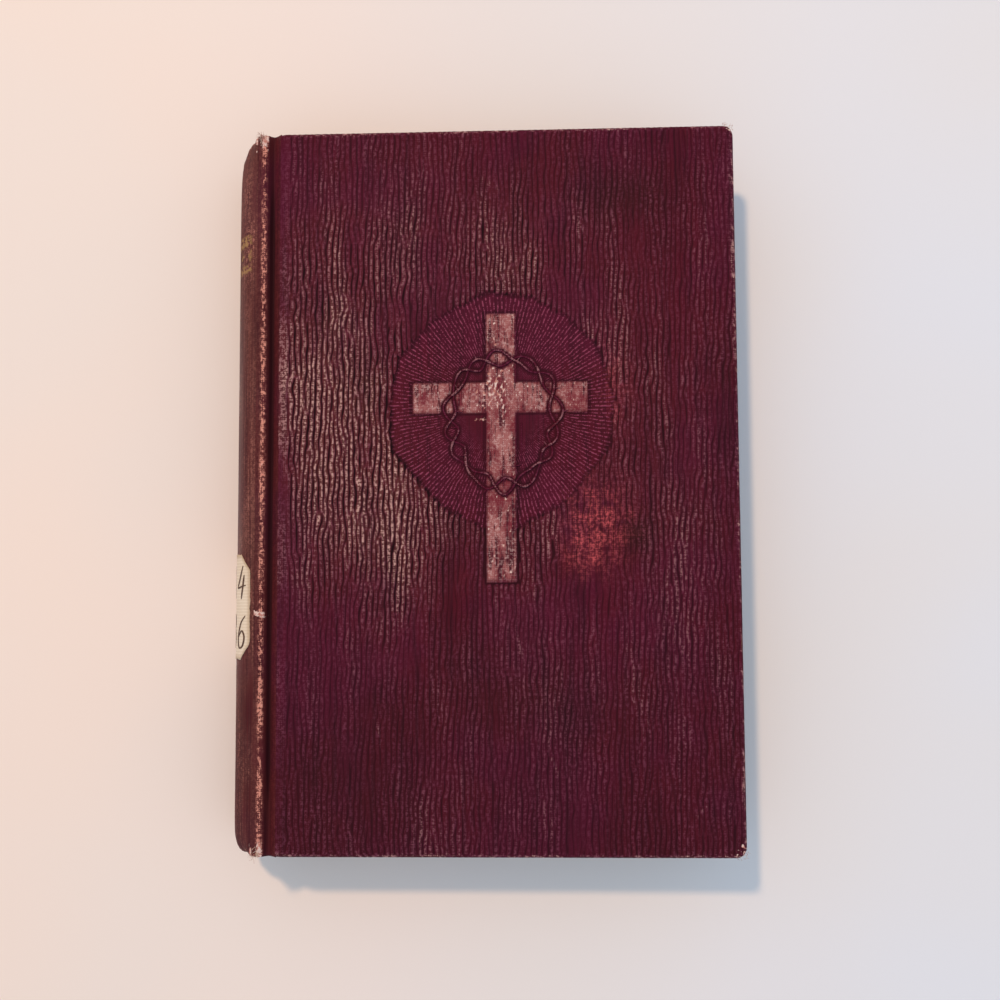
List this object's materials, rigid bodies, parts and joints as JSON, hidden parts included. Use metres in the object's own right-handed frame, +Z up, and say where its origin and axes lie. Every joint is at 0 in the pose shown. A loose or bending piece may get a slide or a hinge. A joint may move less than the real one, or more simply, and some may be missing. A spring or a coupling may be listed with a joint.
{
  "type": "hardcover prayer book",
  "caption": "Old cloth-bound prayer book with a rounded spine, grooved joints, hinged covers, sewn sections and a blind-stamped cross",
  "frame": {"origin": "under the middle of the whole book, on the outer face of the back cover", "axes": "+X from spine to fore-edge, +Y from tail to head, +Z up from back cover to front cover"},
  "size_m": [0.1338, 0.19, 0.0286],
  "materials": {
    "book_cloth": "straight-grain embossed starched cloth, worn",
    "millboard": "tan millboard",
    "spine_card": "card",
    "text_paper": "aged cream paper",
    "endpaper": "aged buff endpaper",
    "label_paper": "toned cream paper",
    "kraft_paper": "brown kraft paper",
    "mull": "open weave starched gauze",
    "linen_thread": "waxed linen thread",
    "band_cotton": "striped cotton end band"
  },
  "bodies": {
    "text_block": {"section_01": "text_paper", "section_02": "text_paper", "section_03": "text_paper", "section_04": "text_paper", "section_05": "text_paper", "section_06": "text_paper", "section_07": "text_paper", "section_08": "text_paper", "section_09": "text_paper", "section_10": "text_paper", "section_11": "text_paper", "section_12": "text_paper", "section_13": "text_paper", "section_14": "text_paper", "section_15": "text_paper", "section_16": "text_paper", "section_17": "text_paper", "section_18": "text_paper", "section_19": "text_paper", "section_20": "text_paper", "head_band": "band_cotton", "tail_band": "band_cotton", "sewing_thread": "linen_thread", "spine_mull": "mull", "spine_lining": "kraft_paper", "spine_inlay": "spine_card", "spine_cloth": "book_cloth", "spine_label": "label_paper", "front_joint_cloth": "book_cloth", "front_joint_mull": "mull", "front_joint_paper": "endpaper", "back_joint_cloth": "book_cloth", "back_joint_mull": "mull", "back_joint_paper": "endpaper"},
    "front_cover": {"front_cloth": "book_cloth", "front_board": "millboard", "front_mull_flap": "mull", "front_pastedown": "endpaper"},
    "back_cover": {"back_cloth": "book_cloth", "back_board": "millboard", "back_mull_flap": "mull", "back_pastedown": "endpaper"},
    "front_flyleaf": {"front_flyleaf": "endpaper"},
    "front_leaf_1": {"front_leaf_1": "text_paper"},
    "front_leaf_2": {"front_leaf_2": "text_paper"},
    "front_leaf_3": {"front_leaf_3": "text_paper"},
    "front_leaf_4": {"front_leaf_4": "text_paper"},
    "back_flyleaf": {"back_flyleaf": "endpaper"},
    "back_leaf_1": {"back_leaf_1": "text_paper"},
    "back_leaf_2": {"back_leaf_2": "text_paper"},
    "back_leaf_3": {"back_leaf_3": "text_paper"}
  },
  "joints": [
    {"name": "front_cover_hinge", "type": "hinge", "parent": "text_block", "child": "front_cover", "pos_m": [-0.05572, 0, 0.02832], "axis": [0, -1, 0], "range_deg": [0, 180], "deforming": ["front_joint_cloth", "front_joint_mull", "front_joint_paper"]},
    {"name": "back_cover_hinge", "type": "hinge", "parent": "text_block", "child": "back_cover", "pos_m": [-0.05572, 0, 0.0003], "axis": [0, 1, 0], "range_deg": [0, 180], "deforming": ["back_joint_cloth", "back_joint_mull", "back_joint_paper"]},
    {"name": "front_flyleaf_turn", "type": "hinge", "parent": "text_block", "child": "front_flyleaf", "pos_m": [-0.05572, 0, 0.02832], "axis": [0, -1, 0], "range_deg": [0, 162.5]},
    {"name": "front_leaf_1_turn", "type": "hinge", "parent": "text_block", "child": "front_leaf_1", "pos_m": [-0.05572, 0, 0.02832], "axis": [0, -1, 0], "range_deg": [0, 130.1]},
    {"name": "front_leaf_2_turn", "type": "hinge", "parent": "text_block", "child": "front_leaf_2", "pos_m": [-0.05572, 0, 0.02832], "axis": [0, -1, 0], "range_deg": [0, 97.7]},
    {"name": "front_leaf_3_turn", "type": "hinge", "parent": "text_block", "child": "front_leaf_3", "pos_m": [-0.05572, 0, 0.02832], "axis": [0, -1, 0], "range_deg": [0, 65.3]},
    {"name": "front_leaf_4_turn", "type": "hinge", "parent": "text_block", "child": "front_leaf_4", "pos_m": [-0.05572, 0, 0.02832], "axis": [0, -1, 0], "range_deg": [0, 32.9]},
    {"name": "back_flyleaf_turn", "type": "hinge", "parent": "text_block", "child": "back_flyleaf", "pos_m": [-0.05572, 0, 0.0003], "axis": [0, 1, 0], "range_deg": [0, 158.9]},
    {"name": "back_leaf_1_turn", "type": "hinge", "parent": "text_block", "child": "back_leaf_1", "pos_m": [-0.05572, 0, 0.0003], "axis": [0, 1, 0], "range_deg": [0, 115.7]},
    {"name": "back_leaf_2_turn", "type": "hinge", "parent": "text_block", "child": "back_leaf_2", "pos_m": [-0.05572, 0, 0.0003], "axis": [0, 1, 0], "range_deg": [0, 76.1]},
    {"name": "back_leaf_3_turn", "type": "hinge", "parent": "text_block", "child": "back_leaf_3", "pos_m": [-0.05572, 0, 0.0003], "axis": [0, 1, 0], "range_deg": [0, 36.5]}
  ],
  "couplings": [
    {"joint": "front_flyleaf_turn", "follows": "front_cover_hinge", "ratio": 0.9},
    {"joint": "front_leaf_1_turn", "follows": "front_cover_hinge", "ratio": 0.72},
    {"joint": "front_leaf_2_turn", "follows": "front_cover_hinge", "ratio": 0.54},
    {"joint": "front_leaf_3_turn", "follows": "front_cover_hinge", "ratio": 0.36},
    {"joint": "front_leaf_4_turn", "follows": "front_cover_hinge", "ratio": 0.18},
    {"joint": "back_flyleaf_turn", "follows": "back_cover_hinge", "ratio": 0.88},
    {"joint": "back_leaf_1_turn", "follows": "back_cover_hinge", "ratio": 0.64},
    {"joint": "back_leaf_2_turn", "follows": "back_cover_hinge", "ratio": 0.42},
    {"joint": "back_leaf_3_turn", "follows": "back_cover_hinge", "ratio": 0.2}
  ]
}
